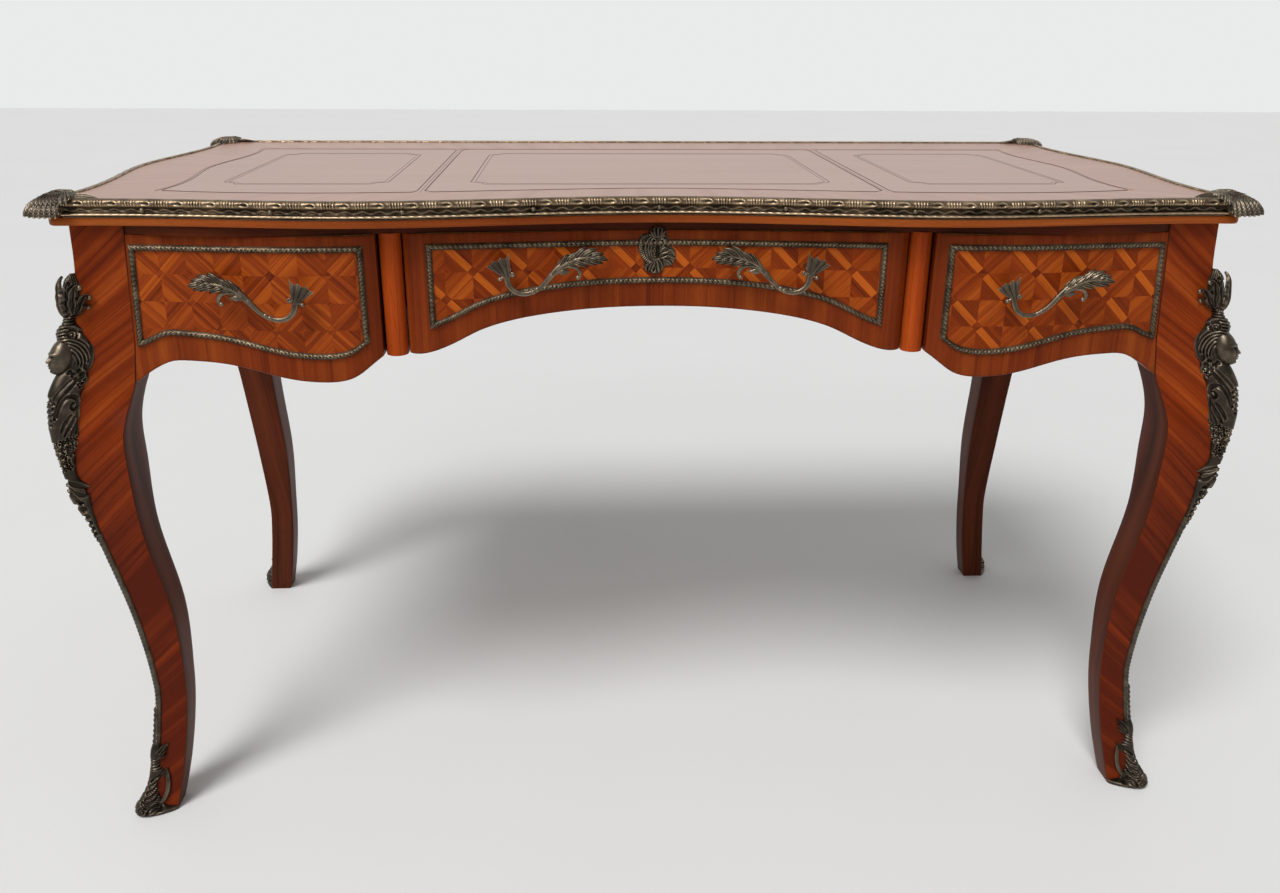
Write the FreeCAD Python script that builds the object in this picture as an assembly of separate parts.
import FreeCAD, Part
import math
import os

# Bureau plat: a writing desk with three drawers on four cabriole legs, in millimetres.
# +Z is up, the drawers open towards -Y, and the origin is on the floor under the middle of the desk.
# The front right leg and the right drawer are modelled, and the others are mirrored from them.

Vec = FreeCAD.Vector
os.makedirs("parts", exist_ok=True)

# Overall sizes
top_height = 770.0           # floor to the writing surface
post_face_x = 626.0          # middle of the desk to the side faces of the posts
post_face_y = 295.0          # middle of the desk to the front and back faces of the posts
post_width = 57.0            # side of the square post at the top of each leg

# Top
band_height = 17.5           # brass edge moulding
band_width = 8.0
lip_height = 8.5             # wooden lip below the brass
lip_setback = 2.0
front_overhang = 17.0        # past the posts, at the corners
front_bulge = 22.0           # further out, where the front swells over the side drawers
front_bulge_x = 335.0
front_recess = 15.0          # further in, at the middle of the front
front_waist = 3.0            # further out, half way from the middle to the swell
side_overhang = 17.0
side_bulge = 12.0
back_overhang = 15.0
corner_cant = 16.0           # cut across each corner of the top
leather_thickness = 1.5
leather_border_front = 80.0  # veneered border, from the edge to the leather
leather_border_side = 88.0
leather_border_back = 105.0
leather_split_x = 263.0      # joint between the middle skin and the outer ones
pin_radius = 2.6
pin_pitch = 135.0
pin_gap = 0.1                # play under a pin's head
clasp_reach = 33.0           # half width of a corner clasp
clasp_half_height = 14.5
clasp_rim = 1.5              # half of the upright rim left between its rounded edges
clasp_inset = 9.0            # its centre, in from both edges
clasp_centre_drop = 6.5      # its centre, below the writing surface

# Carcass
rail_height = 10.0           # upper front rail
rail_depth = 85.0
rail_setback = 2.0           # behind the drawer faces
apron_thickness = 20.0
apron_bow = 10.0             # swell of the side aprons
apron_drop_end = 154.0       # from the underside of the top to the lower edge, at the legs
apron_drop_lobe = 166.0      # at the middle of a side apron
apron_drop_hollow = 143.0    # at the hollows between
apron_hollow_share = 0.62    # place of a hollow, from the middle to a leg
apron_lobe_share = 0.25      # half width of the lobe
apron_lobe_rise = 6.0        # of the lobe's shoulders
tenon_length = 22.0
tenon_thickness = 9.0
tenon_margin = 18.0          # from the ends of an apron's height to its tenon
tenon_play = 0.15
divider_x = 292.0
divider_thickness = 24.0
runner_width = 16.0
runner_height = 9.0
stop_length = 14.0
stop_height = 12.0
block_size = 26.0            # blocks that hold the top
block_length = 60.0
screw_radius = 2.0
screw_head_radius = 4.0
screw_head_height = 2.5
screw_grip = 14.0            # length of a screw inside the top
rail_screw_share = 0.8       # place of the outer screws along the rail

# Drawers
drawer_gap = 2.0             # running gap at the sides and the top of a drawer
drawer_back_y = 205.0
wall = 10.0                  # drawer sides and backs
bottom_thickness = 6.0
bottom_lift = 6.0            # from the lower edge of the sides to the bottom panel
groove_depth = 5.0
groove_play = 0.2
tail_depth = 12.0            # dovetails of the sides in the front
tail_count = 3
tail_flare = 3.0
side_box_drop = 138.0        # from the underside of the top to the lower edge of a side drawer's box
centre_box_drop = 92.0
box_top_gap = 6.0            # the box stands lower than the drawer front by this
front_back_side = 20.0       # flat back of a side drawer's front, in from the post faces
front_back_centre = 38.0     # flat back of the centre drawer's front, in from the post faces
side_face_bulge = 20.0       # face of a side drawer, out from the post faces
side_face_end = 2.5
side_face_return = 6.0       # at the rounded end beside the pilaster
centre_face_recess = 18.0    # face of the centre drawer, in from the post faces
centre_face_shoulder = 4.0   # out from the post faces, near its ends
centre_face_return = 5.0     # in from the post faces, at its rounded ends
pilaster_proud = 6.0

# Lower edges of the drawer fronts: share of the width from the pilaster or the middle, and the drop
# from the underside of the top
side_edge = [(0.0, 146), (0.04, 153), (0.12, 167.5), (0.25, 172.5), (0.43, 166), (0.63, 153),
             (0.80, 148), (0.88, 149), (0.935, 156), (1.0, 161)]
centre_edge = [(0.0, 97), (0.17, 97.5), (0.42, 102), (0.61, 110.5), (0.72, 120), (0.81, 132),
               (0.88, 140), (1.0, 146)]

# Bronze frames on the drawers and aprons
frame_width = 7.0
frame_proud = 4.0
frame_lift = 27.0            # above the lower edge
frame_top_gap = 9.0          # below the top of the drawer front
frame_end_outer = 2.0
frame_end_inner = 11.5
frame_end_centre = 25.0

# Handles
handle_length = 106.0        # from the middle of the cup to the tip of the leaf
handle_sag = 35.0
handle_low_share = 0.38      # place of the bail's lowest point
handle_bail_radius = 4.0
handle_standoff = 15.0
handle_cup_radius = 6.5
handle_flare_length = 18.0   # leafy mouth of the cup
handle_flare_radius = 7.5
handle_flare_rise = 0.45     # its slope
handle_leaf_length = 40.0
handle_leaf_height = 18.0
handle_leaf_depth = 8.0
handle_post_radius = 3.6
stud_radius = 2.4
stud_play = 0.3
stud_end = 2.0               # past its nut
nut_radius = 6.0
nut_height = 4.0
side_handle_share = 0.327    # place of the cup along the drawer
side_handle_drop = 64.0
centre_handle_share = 0.588
centre_handle_drop = 42.0

# Lock
lock_width = 56.0
lock_height = 44.0
lock_depth = 14.0
lock_sink = 6.0              # let into the drawer front
bolt_width = 24.0
bolt_thickness = 6.0
bolt_length = 26.0
bolt_throw = 8.0
bolt_play = 0.35
keyhole_radius = 3.2
keyhole_slot = 9.0
keyhole_drop = 30.0          # below the top of the drawer front
plate_width = 36.0           # escutcheon
plate_height = 46.0
plate_proud = 3.5
plate_top_gap = 2.5

# Legs: height, how far the outer edge swells past the post, and how far the inner faces draw in,
# drawn for a leg of the pattern's height and stretched to the desk's own
leg_pattern_height = 744.0
leg_stations = [(0, 18, 42), (25, 14, 36), (65, 7, 28), (120, -1, 20), (170, -5, 16), (270, 2, 14),
                (390, 19, 26), (470, 29, 26), (520, 28, 25), (560, 24, 16), (600, 17, 0), (640, 9, -2),
                (690, 2, -2), (744, 0, -2)]
leg_sections = 24
leg_clear_height = 596.0     # in the pattern, above this the inner faces are flat and upright

# Mounts on the knees: height above the mount's foot, half width across the edge and reach past the edge
knee_drop = 352.0            # from the underside of the top to the foot of the mount
knee_stations = [(0, 3, 4), (23, 8, 7), (53, 15, 12), (88, 15, 11), (138, 17, 14), (170, 18, 17),
                 (196, 11, 12), (220, 14, 13), (248, 14, 12), (280, 9, 9), (298, 3, 5)]
knee_root = 7.0              # depth of a section's centre inside the edge
head_height = 220.0          # above the mount's foot
head_half_width = 13.5
head_half_height = 19.0
head_reach = 7.0             # centre of the head past the edge of the leg
strip_width = 4.5            # on each of the two faces that meet at the edge
strip_proud = 2.2

# Foot shoes: share of the height, and spread over each face from the outer edge
sabot_outline = [(0.0, 29), (0.2, 32), (0.45, 32), (0.66, 24), (0.77, 10), (0.88, 17), (1.0, 5)]
sabot_wall = 3.0
sabot_height = 108.0
sabot_sections = 6
sabot_opening_share = 0.44   # height of the oval opening's middle
sabot_opening_spread = 19.0  # from the outer edge to its middle
sabot_opening_half_width = 7.0
sabot_opening_half_height = 17.0
toe_radius = 10.0
toe_reach = 3.0

# Values that follow from the sizes above
underside = top_height - band_height - lip_height
band_low = top_height - band_height
top_front = post_face_y + front_overhang
top_back = post_face_y + back_overhang
top_side = post_face_x + side_overhang
post_inner_x = post_face_x - post_width
post_inner_y = post_face_y - post_width
drawer_top = underside - rail_height - drawer_gap
pilaster_radius = divider_thickness / 2
side_inner = divider_x + divider_thickness / 2 + drawer_gap
side_outer = post_inner_x - drawer_gap
centre_half = divider_x - divider_thickness / 2 - drawer_gap
box_top = drawer_top - box_top_gap
apron_inner_y = post_face_y - apron_thickness
apron_inner_x = post_face_x - apron_thickness
side_face_line = -(post_face_y + side_face_bulge)
leg_stretch = underside / leg_pattern_height


def save(name, shape):
    shape.exportStep("parts/" + name + ".step")


def spline(points):
    curve = Part.BSplineCurve()
    curve.interpolate(points)
    return curve.toShape()


def prism(edges, direction):
    return Part.Face(Part.Wire(edges)).extrude(direction)


def box(low, high):
    size = Vec(*high) - Vec(*low)
    return Part.makeBox(size.x, size.y, size.z, Vec(*low))


def mirrored(shape, side_x, side_y=-1):
    # The front right piece is the pattern: side_x is -1 for the left, side_y is 1 for the back.
    if side_x < 0:
        shape = shape.mirror(Vec(0, 0, 0), Vec(1, 0, 0))
    if side_y > 0:
        shape = shape.mirror(Vec(0, 0, 0), Vec(0, 1, 0))
    return shape


def ellipsoid(centre, half_width, half_height):
    # Round in plan: half an ellipse turned about the upright axis.
    side = centre + Vec(half_width, 0, 0)
    pole = Vec(0, 0, half_height)
    if half_width > half_height:
        arc = Part.ArcOfEllipse(Part.Ellipse(side, centre - pole, centre), -math.pi / 2, math.pi / 2)
    else:
        arc = Part.ArcOfEllipse(Part.Ellipse(centre + pole, side, centre), 0, math.pi)
    edge = arc.toShape()
    axis = Part.makeLine(edge.valueAt(edge.LastParameter), edge.valueAt(edge.FirstParameter))
    return Part.Face(Part.Wire([edge, axis])).revolve(centre, Vec(0, 0, 1), 360)


def follow(stations, height, column):
    # Smooth curve through the stations, with each slope taken from the neighbours.
    heights = [row[0] for row in stations]
    values = [row[column] for row in stations]
    last = len(stations) - 1
    k = max(i for i in range(last) if heights[i] <= height or i == 0)

    def slope(i):
        a = max(i - 1, 0)
        b = min(i + 1, last)
        return (values[b] - values[a]) / (heights[b] - heights[a])

    span = heights[k + 1] - heights[k]
    t = (height - heights[k]) / span
    rise = values[k + 1] - values[k]
    start = slope(k) * span
    end = slope(k + 1) * span
    return values[k] + t * (start + t * (3 * rise - 2 * start - end + t * (start + end - 2 * rise)))


# Top board, brass edge, leather, clasps and pins

def top_outline(inset, level):
    # Front serpentine, bowed sides and straight back, with a cant across each corner.
    x = top_side - inset
    front = top_front - inset
    back = top_back - inset
    swell = front + front_bulge
    half = [Vec(front_bulge_x, -swell, level), Vec(front_bulge_x / 2, -(front + front_waist), level)]
    centre = [Vec(0, -(front - front_recess), level)]
    shoulder = Vec((front_bulge_x + x) / 2, -(front + front_bulge / 3), level)
    start = Vec(x - corner_cant, -front, level)
    right = [start, shoulder] + half
    left = [Vec(-p.x, p.y, p.z) for p in right]
    front_edge = spline(right + centre + left[::-1])
    quarter = (top_back + top_front) / 4
    middle = (back - front) / 2
    side_right = [Vec(x, -front + corner_cant, level), Vec(x + 1, middle - quarter / 1.4, level),
                  Vec(x + side_bulge, middle, level), Vec(x + 1, middle + quarter / 1.4, level),
                  Vec(x, back - corner_cant, level)]
    side_left = [Vec(-p.x, p.y, p.z) for p in side_right]
    back_ends = [Vec(x - corner_cant, back, level), Vec(-x + corner_cant, back, level)]
    return [front_edge, Part.makeLine(left[0], side_left[0]), spline(side_left),
            Part.makeLine(side_left[-1], back_ends[1]), Part.makeLine(back_ends[1], back_ends[0]),
            Part.makeLine(back_ends[0], side_right[-1]), spline(side_right[::-1]),
            Part.makeLine(side_right[0], start)]


def leather_field(level):
    # The leather follows the front serpentine and waves a little at its ends.
    x = top_side - leather_border_side
    front = top_front - leather_border_front
    back = top_back - leather_border_back
    bulge = front + front_bulge
    recess = front - front_recess
    half = [Vec(x, -front, level), Vec(front_bulge_x, -bulge, level),
            Vec(front_bulge_x / 2, -(front + front_waist), level)]
    left = [Vec(-p.x, p.y, p.z) for p in half]
    front_edge = spline(half + [Vec(0, -recess, level)] + left[::-1])
    middle = (back - front) / 2
    end = [half[0], Vec(x - side_bulge / 3, (middle - front) / 2, level),
           Vec(x + side_bulge * 2 / 3, middle, level),
           Vec(x - side_bulge / 3, (middle + back) / 2, level), Vec(x, back, level)]
    end_left = [Vec(-p.x, p.y, p.z) for p in end]
    return [front_edge, spline(end_left), Part.makeLine(end_left[-1], end[-1]), spline(end[::-1])]


def clasp_ball(side_y):
    # Round cushion over a corner of the top.
    depth = top_front if side_y < 0 else top_back
    low = top_height - clasp_centre_drop - clasp_half_height
    disc = Part.makeCylinder(clasp_reach, 2 * clasp_half_height,
                             Vec(top_side - clasp_inset, side_y * (depth - clasp_inset), low))
    rims = [edge for edge in disc.Edges if isinstance(edge.Curve, Part.Circle)]
    return disc.makeFillet(clasp_half_height - clasp_rim, rims)


def screw_places():
    rail_y = -(post_face_y - rail_depth / 2)
    inner = divider_x - divider_thickness - block_size
    outer = post_inner_x * rail_screw_share
    block_y = apron_inner_y - block_size / 2
    block_x = apron_inner_x - block_size / 2
    rail = [Vec(x, rail_y, 0) for x in (-outer, -inner, inner, outer)]
    blocks = [Vec(-inner, block_y, 0), Vec(inner, block_y, 0), Vec(-block_x, 0, 0), Vec(block_x, 0, 0)]
    return rail, blocks


def make_screw(place, length):
    shank = Part.makeCylinder(screw_radius, length + screw_grip, place + Vec(0, 0, underside - length))
    head = Part.makeCylinder(screw_head_radius, screw_head_height,
                             place + Vec(0, 0, underside - length - screw_head_height))
    return shank.fuse(head).removeSplitter()


def make_top():
    lip = prism(top_outline(lip_setback, underside), Vec(0, 0, lip_height))
    board = prism(top_outline(band_width, band_low), Vec(0, 0, band_height))
    skin_low = top_height - leather_thickness
    field = prism(leather_field(skin_low), Vec(0, 0, leather_thickness))
    top = lip.fuse(board).removeSplitter().cut(field)
    rail, blocks = screw_places()
    for place in rail + blocks:
        top = top.cut(Part.makeCylinder(screw_radius, screw_grip, place + Vec(0, 0, underside)))
    save("top_board", top)
    far = 2 * top_side
    cuts = {"leather_left": (-far, -leather_split_x), "leather_right": (leather_split_x, far),
            "leather_centre": (-leather_split_x, leather_split_x)}
    for name, (low, high) in cuts.items():
        save(name, field.common(box((low, -far, skin_low), (high, far, top_height))))
    return top


def make_edge(top):
    ring = prism(top_outline(0, band_low), Vec(0, 0, band_height))
    ring = ring.cut(prism(top_outline(band_width, band_low), Vec(0, 0, band_height)))
    for side_y, row in ((-1, "front"), (1, "rear")):
        ball = clasp_ball(side_y)
        ring = ring.cut(ball).cut(mirrored(ball, -1))
        clasp = ball.cut(top)
        save("corner_clasp_" + row + "_right", clasp)
        save("corner_clasp_" + row + "_left", mirrored(clasp, -1))
    lengths = sorted(ring.Solids, key=lambda s: -s.Volume)[:4]
    by_y = sorted(lengths, key=lambda s: s.CenterOfMass.y)
    by_x = sorted(lengths, key=lambda s: s.CenterOfMass.x)
    named = {"front": by_y[0], "back": by_y[-1], "left": by_x[0], "right": by_x[-1]}
    for name, solid in named.items():
        save("edge_moulding_" + name, solid)
    make_pins(named)


def make_pins(lengths):
    # Domed heads on the outer face of the brass, at an even pitch along each length.
    level = band_low + band_height / 2
    pins = []
    for name, solid in lengths.items():
        along_x = name in ("front", "back")
        middle_y = (top_back - top_front) / 2
        half = (top_side if along_x else top_front + middle_y) - clasp_inset - clasp_reach
        count = int((half - pin_radius) // pin_pitch)
        for k in range(-count, count + 1):
            far = 2 * top_side
            sign = 1 if name in ("back", "right") else -1
            if along_x:
                start = Vec(k * pin_pitch, 0, level)
                end = Vec(k * pin_pitch, sign * far, level)
            else:
                start = Vec(0, middle_y + k * pin_pitch, level)
                end = Vec(sign * far, middle_y + k * pin_pitch, level)
            inside = Part.makeLine(start, end).common(solid)
            tip = max((v.Point for v in inside.Vertexes), key=lambda p: (p - start).Length)
            outward = (end - start).normalize()
            pin = Part.makeSphere(pin_radius, tip, outward).cut(solid)
            pin.translate(outward * pin_gap)
            pins.append(pin)
    save("edge_pins", Part.makeCompound([s for p in pins for s in p.Solids]))


# Legs and their mounts

def leg_edge(height):
    swell = follow(leg_stations, height / leg_stretch, 1)
    return Vec(post_face_x, -post_face_y, height) + Vec(1, -1, 0) * swell


def leg_section(height, grow=0.0):
    outer = follow(leg_stations, height / leg_stretch, 1) + grow
    inner = follow(leg_stations, height / leg_stretch, 2) - grow
    x_out = post_face_x + outer
    x_in = post_inner_x + inner
    y_out = -(post_face_y + outer)
    y_in = -(post_inner_y + inner)
    corners = [Vec(x_out, y_out, height), Vec(x_in, y_out, height), Vec(x_in, y_in, height),
               Vec(x_out, y_in, height)]
    return Part.makePolygon(corners + corners[:1])


def leg_blank():
    sections = [leg_section(underside * k / leg_sections) for k in range(leg_sections + 1)]
    leg = Part.makeLoft(sections, True, False)
    far = 2 * post_face_x
    clear = leg_clear_height * leg_stretch
    leg = leg.cut(box((0, -far, clear), (post_inner_x, far, underside + far)))
    return leg.cut(box((0, -post_inner_y, clear), (far, far, underside + far)))


def apron_tenon_height():
    return (underside - apron_drop_end + tenon_margin, underside - tenon_margin)


def side_tenon(play):
    low, high = apron_tenon_height()
    middle = post_face_x - apron_thickness / 2
    half = tenon_thickness / 2 + play
    return box((middle - half, -post_inner_y - tenon_length - play, low - play),
               (middle + half, -post_inner_y, high + play))


def back_tenon(play):
    low, high = apron_tenon_height()
    middle = post_face_y - apron_thickness / 2
    half = tenon_thickness / 2 + play
    return box((post_inner_x, middle - half, low - play),
               (post_inner_x + tenon_length + play, middle + half, high + play))


def rail_tenon(play):
    margin = rail_height / 5
    front = -(post_face_y - apron_thickness / 2)
    return box((post_inner_x, front - play, underside - rail_height + margin - play),
               (post_inner_x + tenon_length + play, front + apron_thickness + play,
                underside - margin + play))


def mount_section(height, half_width, reach):
    # Closed oval across the outer edge of the leg.
    out = Vec(1, -1, 0).normalize()
    across = Vec(1, 1, 0).normalize()
    centre = leg_edge(height) - out * knee_root
    turns = [2 * math.pi * k / 8 for k in range(8)]
    oval = [centre + across * (half_width * math.cos(t)) + out * ((reach + knee_root) * math.sin(t))
            for t in turns]
    curve = Part.BSplineCurve()
    curve.interpolate(oval, PeriodicFlag=True)
    return Part.Wire(curve.toShape())


def make_knee_mount(leg):
    foot = underside - knee_drop
    sections = [mount_section(foot + rise, width, reach) for rise, width, reach in knee_stations]
    body = Part.makeLoft(sections, True, False)
    out = Vec(1, -1, 0).normalize()
    head = ellipsoid(leg_edge(foot + head_height) + out * head_reach, head_half_width, head_half_height)
    return body.fuse(head).cut(leg)


def strip_section(height):
    # Two bars that meet over the outer edge of the leg, sunk a little into its faces.
    edge = leg_edge(height)
    profile = [(strip_proud, strip_proud), (-strip_width, strip_proud), (-strip_width, -strip_proud),
               (-strip_proud, -strip_proud), (-strip_proud, -strip_width), (strip_proud, -strip_width)]
    corners = [Vec(edge.x + a, edge.y - b, height) for a, b in profile]
    return Part.makePolygon(corners + corners[:1])


def make_strip(leg):
    low = sabot_height
    high = underside - knee_drop
    count = leg_sections // 3
    levels = [low + (high - low) * k / count for k in range(count + 1)]
    return Part.makeLoft([strip_section(z) for z in levels], True, False).cut(leg)


def shoe_outline():
    # The shoe on the front face: a leaf, a neck and a scroll round the oval opening.
    inner = []
    for share, spread in sabot_outline:
        edge = leg_edge(sabot_height * share)
        inner.append(Vec(edge.x - spread, 0, edge.z))
    outer = leg_edge(0).x + toe_reach + 2 * toe_radius
    corners = [Vec(outer, 0, sabot_height), Vec(outer, 0, 0)]
    edges = [spline(inner), Part.makeLine(inner[-1], corners[0]), Part.makeLine(*corners),
             Part.makeLine(corners[1], inner[0])]
    reach = Vec(0, -2 * post_face_y, 0)
    middle = leg_edge(sabot_height * sabot_opening_share)
    centre = Vec(middle.x - sabot_opening_spread, 0, middle.z)
    oval = Part.Ellipse(centre + Vec(0, 0, sabot_opening_half_height),
                        centre + Vec(sabot_opening_half_width, 0, 0), centre)
    return prism(edges, reach).cut(prism([oval.toShape()], reach))


def make_sabot(leg):
    levels = [sabot_height * k / sabot_sections for k in range(sabot_sections + 1)]
    shoe = Part.makeLoft([leg_section(z, sabot_wall) for z in levels], True, False)
    toe_place = leg_edge(toe_radius) + Vec(1, -1, 0) * toe_reach
    shoe = shoe.fuse(Part.makeSphere(toe_radius, toe_place))
    front = shoe_outline()
    side = front.mirror(Vec(post_face_x, -post_face_y, 0), Vec(1, 1, 0))
    return shoe.common(front).common(side).cut(leg)


def make_legs():
    blank = leg_blank()
    knee = make_knee_mount(blank)
    strip = make_strip(blank)
    sabot = make_sabot(blank)
    strips = []
    for side_x, ends in ((-1, "left"), (1, "right")):
        for side_y, row in ((-1, "front"), (1, "rear")):
            leg = blank.cut(side_tenon(tenon_play))
            if side_y < 0:
                leg = leg.cut(rail_tenon(tenon_play))
            else:
                leg = leg.cut(back_tenon(tenon_play).mirror(Vec(0, 0, 0), Vec(0, 1, 0)))
            save("leg_" + row + "_" + ends, mirrored(leg, side_x, side_y))
            save("knee_mount_" + row + "_" + ends, mirrored(knee, side_x, side_y))
            save("sabot_" + row + "_" + ends, mirrored(sabot, side_x, side_y))
            strips.append(mirrored(strip, side_x, side_y))
    save("leg_edge_strips", Part.makeCompound(strips))


# Aprons, rail, dividers and what the drawers run on

def side_apron_edge(lift):
    # Lower edge of a side apron, from the back to the front.
    y = post_inner_y
    half = [(1.0, apron_drop_end), (apron_hollow_share, apron_drop_hollow),
            (apron_lobe_share, apron_drop_lobe - apron_lobe_rise)]
    drops = half + [(0, apron_drop_lobe)] + [(-share, drop) for share, drop in half[::-1]]
    return [Vec(0, y * share, underside - drop + lift) for share, drop in drops]


def side_apron_panel(lift):
    low = side_apron_edge(lift)
    high = [Vec(0, post_inner_y, underside), Vec(0, -post_inner_y, underside)]
    edges = [spline(low), Part.makeLine(low[-1], high[1]), Part.makeLine(high[1], high[0]),
             Part.makeLine(high[0], low[0])]
    return prism(edges, Vec(2 * post_face_x, 0, 0))


def side_face(proud):
    y = post_inner_y
    return [Vec(post_face_x + proud, -y, 0), Vec(post_face_x + apron_bow + proud, 0, 0),
            Vec(post_face_x + proud, y, 0)]


def side_band(inner, outer):
    # Upright slab between two lines that follow the bowed face of a side apron.
    a = side_face(inner)
    b = side_face(outer)
    edges = [spline(a), Part.makeLine(a[-1], b[-1]), spline(b[::-1]), Part.makeLine(b[0], a[0])]
    return prism(edges, Vec(0, 0, underside))


def make_side_apron():
    a = side_face(0)
    inner = [Vec(apron_inner_x, post_inner_y, 0), Vec(apron_inner_x, -post_inner_y, 0)]
    edges = [spline(a), Part.makeLine(a[-1], inner[0]), Part.makeLine(inner[0], inner[1]),
             Part.makeLine(inner[1], a[0])]
    apron = prism(edges, Vec(0, 0, underside)).common(side_apron_panel(0))
    tenon = side_tenon(0)
    apron = apron.fuse(tenon).fuse(tenon.mirror(Vec(0, 0, 0), Vec(0, 1, 0))).removeSplitter()
    return apron


def back_edge(lift):
    # Lower edge of the back apron: a low lobe at each side and an arch over the knee space.
    half = post_inner_x
    start = centre_half / half
    right = [(start * share, drop) for share, drop in centre_edge[:-1]]
    right += [(start + (1 - start) * share, drop) for share, drop in side_edge[1:]]
    points = [Vec(half * share, 0, underside - drop + lift) for share, drop in right]
    return [Vec(-p.x, 0, p.z) for p in points[:0:-1]] + points


def back_panel(lift):
    low = back_edge(lift)
    high = [Vec(-post_inner_x, 0, underside), Vec(post_inner_x, 0, underside)]
    edges = [spline(low), Part.makeLine(low[-1], high[1]), Part.makeLine(high[1], high[0]),
             Part.makeLine(high[0], low[0])]
    return prism(edges, Vec(0, 2 * post_face_y, 0))


def make_back_apron():
    slab = box((-post_inner_x, apron_inner_y, 0), (post_inner_x, post_face_y, underside))
    apron = slab.common(back_panel(0))
    tenon = back_tenon(0)
    return apron.fuse(tenon).fuse(mirrored(tenon, -1)).removeSplitter()


def make_apron_frames():
    top = underside - rail_height - frame_top_gap
    end = post_inner_y - frame_end_inner
    width = frame_width
    side_outer_ring = side_apron_panel(frame_lift).common(box((0, -end, 0), (2 * post_face_x, end, top)))
    side_inner_ring = side_apron_panel(frame_lift + width).common(
        box((0, -end + width, 0), (2 * post_face_x, end - width, top - width)))
    side = side_outer_ring.cut(side_inner_ring).common(side_band(0, frame_proud))
    frames = [side, mirrored(side, -1)]
    back = box((-post_inner_x, post_face_y, 0), (post_inner_x, post_face_y + frame_proud, underside))
    spans = [(-centre_half + frame_end_centre, centre_half - frame_end_centre),
             (side_inner + frame_end_inner, post_inner_x - frame_end_inner)]
    for low, high in spans:
        outer_ring = back_panel(frame_lift).common(box((low, 0, 0), (high, 2 * post_face_y, top)))
        inner_ring = back_panel(frame_lift + width).common(
            box((low + width, 0, 0), (high - width, 2 * post_face_y, top - width)))
        frame = outer_ring.cut(inner_ring).common(back)
        frames.append(frame)
        if low > 0:
            frames.append(mirrored(frame, -1))
    save("apron_mouldings", Part.makeCompound([s for f in frames for s in f.Solids]))


def make_rail():
    face = [Vec(post_inner_x, -(post_face_y + side_face_end), 0),
            Vec(front_bulge_x + post_width, side_face_line, 0),
            Vec(divider_x, -(post_face_y + pilaster_proud), 0),
            Vec(divider_x / 2, -(post_face_y - centre_face_recess / 2), 0),
            Vec(0, -(post_face_y - centre_face_recess), 0)]
    face = [p + Vec(0, rail_setback, underside - rail_height) for p in face]
    line = face + [Vec(-p.x, p.y, p.z) for p in face[-2::-1]]
    rear_y = -(post_face_y - rail_depth)
    rear = [Vec(-post_inner_x, rear_y, underside - rail_height),
            Vec(post_inner_x, rear_y, underside - rail_height)]
    edges = [spline(line), Part.makeLine(line[-1], rear[0]), Part.makeLine(rear[0], rear[1]),
             Part.makeLine(rear[1], line[0])]
    rail = prism(edges, Vec(0, 0, rail_height))
    tenon = rail_tenon(0)
    rail = rail.fuse(tenon).fuse(mirrored(tenon, -1)).removeSplitter()
    bolt_slot = box(*bolt_box(bolt_play, bolt_throw + 1))
    rail = rail.cut(bolt_slot)
    for place in screw_places()[0]:
        rail = rail.cut(Part.makeCylinder(screw_radius, rail_height,
                                          place + Vec(0, 0, underside - rail_height)))
    save("upper_rail", rail)


def make_divider():
    low = underside - centre_edge[-1][1]
    half = divider_thickness / 2
    front = -(post_face_y + pilaster_proud - pilaster_radius)
    high = underside - rail_height
    board = box((divider_x - half, front, low), (divider_x + half, apron_inner_y, high))
    upper = box((divider_x - half, -(post_face_y - rail_depth), high),
                (divider_x + half, apron_inner_y, underside))
    pilaster = Part.makeCylinder(pilaster_radius, high - low, Vec(divider_x, front, low))
    return board.fuse(upper).fuse(pilaster).removeSplitter()


def make_runners():
    # A strip under each drawer side, with a stop behind the drawer.
    side_low = underside - side_box_drop
    centre_low = underside - centre_box_drop
    half = divider_thickness / 2
    places = [(divider_x + half, 1, side_low), (post_inner_x, -1, side_low),
              (divider_x - half, -1, centre_low)]
    runners = []
    stops = []
    for face, into, level in places:
        a, b = sorted((face, face + into * runner_width))
        front = -(post_face_y - front_back_side) + drawer_gap
        if face < divider_x:
            front = -(post_face_y - front_back_centre) + drawer_gap
        runner = box((a, front, level - runner_height), (b, apron_inner_y, level))
        stop = box((a, drawer_back_y, level), (b, drawer_back_y + stop_length, level + stop_height))
        runners += [runner, mirrored(runner, -1)]
        stops += [stop, mirrored(stop, -1)]
    save("drawer_runners", Part.makeCompound(runners))
    save("drawer_stops", Part.makeCompound(stops))


def make_blocks():
    rail, places = screw_places()
    half = block_size / 2
    blocks = []
    screws = [make_screw(place, rail_height) for place in rail]
    for place in places:
        across = Vec(block_length / 2, half, 0) if abs(place.y) > 0 else Vec(half, block_length / 2, 0)
        low = place - across + Vec(0, 0, underside - block_size)
        high = place + across + Vec(0, 0, underside)
        block = box(low, high)
        hole = Part.makeCylinder(screw_radius, block_size, place + Vec(0, 0, underside - block_size))
        blocks.append(block.cut(hole))
        screws.append(make_screw(place, block_size))
    save("top_blocks", Part.makeCompound(blocks))
    save("top_screws", Part.makeCompound(screws))


def make_carcass():
    apron = make_side_apron()
    divider = make_divider()
    for side_x, ends in ((-1, "left"), (1, "right")):
        save("side_apron_" + ends, mirrored(apron, side_x))
        save("divider_" + ends, mirrored(divider, side_x))
    save("back_apron", make_back_apron())
    make_apron_frames()
    make_rail()
    make_runners()
    make_blocks()


# Drawers: the right and the centre drawer are drawn, the left one mirrors the right one

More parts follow.
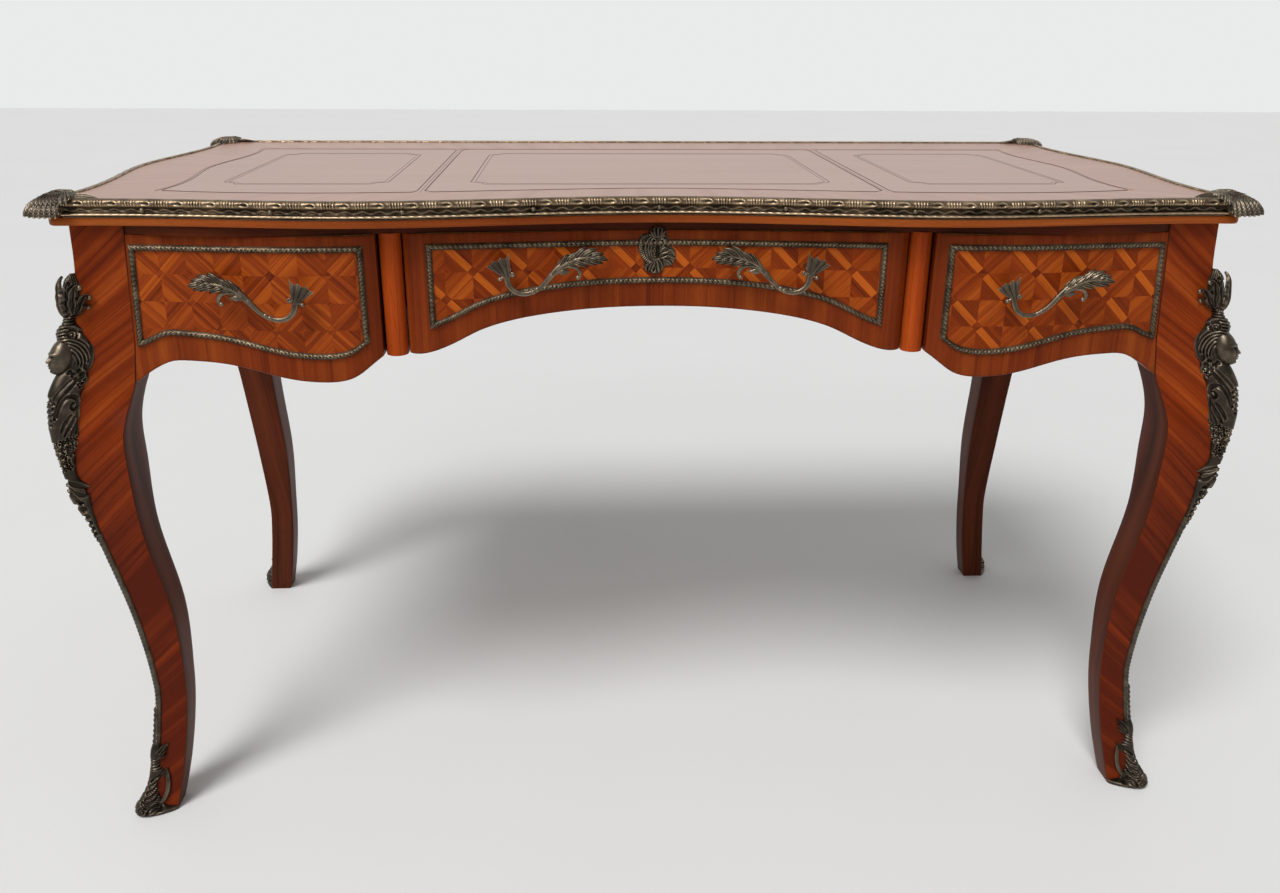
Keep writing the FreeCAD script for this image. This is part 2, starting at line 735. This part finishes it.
def side_line(proud):
    # Face of the side drawer in plan: a rounded end beside the pilaster, a swell, then a long fall.
    width = side_outer - side_inner
    points = [(0.0, side_face_return), (0.045, side_face_bulge * 0.75), (0.15, side_face_bulge - 1),
              (0.36, side_face_bulge), (0.67, side_face_bulge * 0.6), (1.0, side_face_end)]
    return [Vec(side_inner + width * share, -(post_face_y + out + proud), 0) for share, out in points]


def centre_line(proud):
    # Face of the centre drawer in plan: hollow at the middle, with rounded ends.
    right = [(0.0, -centre_face_recess), (0.43, -centre_face_recess / 2), (0.86, centre_face_shoulder),
             (0.94, centre_face_shoulder), (1.0, -centre_face_return)]
    points = [Vec(centre_half * share, -(post_face_y + out + proud), 0) for share, out in right]
    return [Vec(-p.x, p.y, p.z) for p in points[:0:-1]] + points


def face_slab(line_at, proud, back_y=None):
    # Upright slab from a drawer's face line out to a parallel line, or back to a flat back.
    outer = line_at(proud)
    if back_y is None:
        inner = line_at(0)
        rear = [spline(inner[::-1])]
    else:
        inner = [Vec(p.x, back_y, 0) for p in outer]
        rear = [Part.makeLine(inner[-1], inner[0])]
    edges = [spline(outer), Part.makeLine(outer[-1], inner[-1])] + rear
    edges.append(Part.makeLine(inner[0], outer[0]))
    return prism(edges, Vec(0, 0, underside))


def side_shape(lift):
    width = side_outer - side_inner
    low = [Vec(side_inner + width * share, 0, underside - drop + lift) for share, drop in side_edge]
    return shape_above(low)


def centre_shape(lift):
    right = [Vec(centre_half * share, 0, underside - drop + lift) for share, drop in centre_edge]
    return shape_above([Vec(-p.x, 0, p.z) for p in right[:0:-1]] + right)


def shape_above(low):
    high = [Vec(low[0].x, 0, drawer_top), Vec(low[-1].x, 0, drawer_top)]
    edges = [spline(low), Part.makeLine(low[-1], high[1]), Part.makeLine(high[1], high[0]),
             Part.makeLine(high[0], low[0])]
    return prism(edges, Vec(0, -2 * post_face_y, 0))


def make_frame(shape_at, line_at, low_x, high_x):
    far = 2 * post_face_y
    high_z = drawer_top - frame_top_gap
    outer_ring = shape_at(frame_lift).common(box((low_x, -far, 0), (high_x, 0, high_z)))
    w = frame_width
    inner_ring = shape_at(frame_lift + w).common(box((low_x + w, -far, 0), (high_x - w, 0, high_z - w)))
    return outer_ring.cut(inner_ring).common(face_slab(line_at, frame_proud))


def tail_shapes(x_low, box_low, back_y):
    # Dovetails on the front end of a drawer side, wider at their tips.
    pitch = (box_top - box_low) / tail_count
    tails = []
    for k in range(tail_count):
        middle = box_low + pitch * (k + 0.5)
        root = pitch / 4
        tip = root + tail_flare
        y_tip = back_y - tail_depth
        corners = [Vec(x_low, back_y, middle - root), Vec(x_low, y_tip, middle - tip),
                   Vec(x_low, y_tip, middle + tip), Vec(x_low, back_y, middle + root)]
        tails.append(prism([Part.makePolygon(corners + corners[:1])], Vec(wall, 0, 0)))
    return tails


def make_box(low_x, high_x, box_low, back_y):
    # Two sides with dovetails and grooves, a back that stands on the bottom, and the bottom panel.
    panel_low = box_low + bottom_lift
    panel_high = panel_low + bottom_thickness
    reach = groove_depth - groove_play
    panel = box((low_x + wall - reach, back_y - reach, panel_low),
                (high_x - wall + reach, drawer_back_y, panel_high))
    groove = box((low_x + wall - groove_depth, back_y - groove_depth, panel_low - groove_play),
                 (high_x - wall + groove_depth, drawer_back_y, panel_high))
    sides = []
    tails = []
    for x in (low_x, high_x - wall):
        side = box((x, back_y, box_low), (x + wall, drawer_back_y, box_top))
        joint = tail_shapes(x, box_low, back_y)
        tails += joint
        sides.append(side.fuse(joint).removeSplitter().cut(groove))
    back = box((low_x + wall, drawer_back_y - wall, panel_high), (high_x - wall, drawer_back_y, box_top))
    return sides + [back], panel, groove, tails


def make_handle(front, cup_x, cup_z, into, plane_y, back_y):
    # Cast pull: a cup, a hanging bail and a leaf, on two posts whose studs pass through the front.
    def at(along, up, y=plane_y):
        return Vec(cup_x + into * along, y, cup_z + up)

    leaf_middle = handle_length - handle_leaf_length / 2
    leaf_start = handle_length - handle_leaf_length
    arc = Part.Arc(at(0, 0), at(handle_length * handle_low_share, -handle_sag), at(leaf_middle, 0)).toShape()
    sweep = math.degrees(arc.LastParameter - arc.FirstParameter)
    first = arc.FirstParameter
    ring = Part.makeCircle(handle_bail_radius, arc.valueAt(first), arc.tangentAt(first))
    bail = Part.Face(Part.Wire(ring)).revolve(arc.Curve.Center, arc.Curve.Axis, sweep)
    cup = Part.makeSphere(handle_cup_radius, at(0, 0))
    flare = Part.makeCone(handle_bail_radius, handle_flare_radius, handle_flare_length, at(0, 0),
                          Vec(-into, 0, handle_flare_rise))
    half = handle_leaf_height / 2
    near_y = plane_y - handle_leaf_depth / 2
    upper = [at(leaf_start, -half, near_y), at(leaf_middle, half, near_y), at(handle_length, half / 2, near_y)]
    lower = [upper[-1], at(leaf_middle + half, -half / 2, near_y), upper[0]]
    leaf = prism([spline(upper), spline(lower)], Vec(0, handle_leaf_depth, 0))
    handle = bail.fuse([cup, flare, leaf])
    studs = []
    run = back_y - plane_y
    for along in (0, leaf_middle):
        post = Part.makeCylinder(handle_post_radius, run, at(along, 0), Vec(0, 1, 0)).cut(front)
        stud = Part.makeCylinder(stud_radius, run + nut_height + stud_end, at(along, 0), Vec(0, 1, 0))
        handle = handle.fuse([post, stud])
        studs.append(at(along, 0, back_y))
    return handle.removeSplitter(), studs


def drill(front, studs):
    for place in studs:
        front = front.cut(Part.makeCylinder(stud_radius + stud_play, 3 * post_width,
                                            place - Vec(0, 2 * post_width, 0), Vec(0, 1, 0)))
    return front


def make_nuts(studs):
    nuts = []
    for place in studs:
        hole = Part.makeCylinder(stud_radius + stud_play, nut_height, place, Vec(0, 1, 0))
        corners = [place + Vec(math.cos(k * math.pi / 3), 0, math.sin(k * math.pi / 3)) * nut_radius
                   for k in range(6)]
        nuts.append(prism([Part.makePolygon(corners + corners[:1])], Vec(0, nut_height, 0)).cut(hole))
    return nuts


def make_side_drawer():
    back_y = -(post_face_y - front_back_side)
    front = face_slab(side_line, 0, back_y).common(side_shape(0))
    walls, panel, groove, tails = make_box(side_inner, side_outer, underside - side_box_drop, back_y)
    cup_x = side_inner + side_handle_share * (side_outer - side_inner)
    plane_y = side_face_line - handle_standoff
    handle, studs = make_handle(front, cup_x, underside - side_handle_drop, 1, plane_y, back_y)
    front = drill(front.cut(groove).cut(Part.makeCompound(tails)), studs)
    frame = make_frame(side_shape, side_line, side_inner + frame_end_inner, side_outer - frame_end_outer)
    pieces = {"front": front, "box": Part.makeCompound(walls), "bottom": panel, "frame": frame,
              "nuts": Part.makeCompound(make_nuts(studs)), "handle": handle}
    for side_x, ends in ((-1, "left"), (1, "right")):
        for name, shape in pieces.items():
            save("drawer_" + ends + "_" + name, mirrored(shape, side_x))


def bolt_box(play, rise):
    back_y = -(post_face_y - front_back_centre)
    middle = back_y + lock_depth / 2 - lock_sink
    half = bolt_thickness / 2 + play
    return ((-bolt_width / 2 - play, middle - half, drawer_top - bolt_length),
            (bolt_width / 2 + play, middle + half, drawer_top + rise))


def escutcheon_outline(face_y):
    # Cartouche with a wide crest, a waist and a pointed foot, standing proud of the face.
    high = drawer_top - plate_top_gap
    right = [(0.0, 0.0), (0.30, 0.06), (0.46, 0.22), (0.36, 0.42), (0.50, 0.60), (0.26, 0.84), (0.0, 1.0)]
    points = [Vec(plate_width * across, face_y - plate_proud, high - plate_height * down)
              for across, down in right]
    left = [Vec(-p.x, p.y, p.z) for p in points]
    return prism([spline(points), spline(left[::-1])], Vec(0, 2 * plate_proud, 0))


def make_centre_drawer():
    back_y = -(post_face_y - front_back_centre)
    front = face_slab(centre_line, 0, back_y).common(centre_shape(0))
    walls, panel, groove, tails = make_box(-centre_half, centre_half, underside - centre_box_drop, back_y)
    cup_x = centre_handle_share * centre_half
    plane_y = -(post_face_y - centre_face_recess / 8) - handle_standoff
    cup_z = underside - centre_handle_drop
    right, studs = make_handle(front, cup_x, cup_z, -1, plane_y, back_y)
    studs += [Vec(-p.x, p.y, p.z) for p in studs]

    face_y = -(post_face_y - centre_face_recess)
    cartouche = escutcheon_outline(face_y)
    plate = cartouche.cut(front)
    key_z = drawer_top - keyhole_drop
    keyhole = Part.makeCylinder(keyhole_radius, 2 * post_width, Vec(0, face_y - post_width, key_z),
                                Vec(0, 1, 0))
    slot = box((-keyhole_radius / 2, face_y - post_width, key_z - keyhole_slot),
               (keyhole_radius / 2, face_y + post_width, key_z))
    keyhole = keyhole.fuse(slot)

    case_low = (-lock_width / 2, back_y - lock_sink, drawer_top - lock_height)
    case_high = (lock_width / 2, back_y - lock_sink + lock_depth, drawer_top)
    case_block = box(case_low, case_high)
    low, high = bolt_box(0, 0)
    chamber = box(*bolt_box(bolt_play, 1))
    front = drill(front.cut(groove).cut(Part.makeCompound(tails)).cut(case_block).cut(keyhole), studs)
    frame = make_frame(centre_shape, centre_line, -centre_half + frame_end_centre,
                       centre_half - frame_end_centre).cut(cartouche)
    save("drawer_centre_front", front)
    save("drawer_centre_box", Part.makeCompound(walls))
    save("drawer_centre_bottom", panel)
    save("drawer_centre_frame", frame)
    save("drawer_centre_nuts", Part.makeCompound(make_nuts(studs)))
    save("drawer_centre_handle_right", right)
    save("drawer_centre_handle_left", mirrored(right, -1))
    save("escutcheon", plate.cut(keyhole))
    save("lock_case", case_block.cut(chamber).cut(keyhole))
    save("lock_bolt", box(low, high))


board = make_top()
make_edge(board)
make_legs()
make_carcass()
make_side_drawer()
make_centre_drawer()
print("parts written")
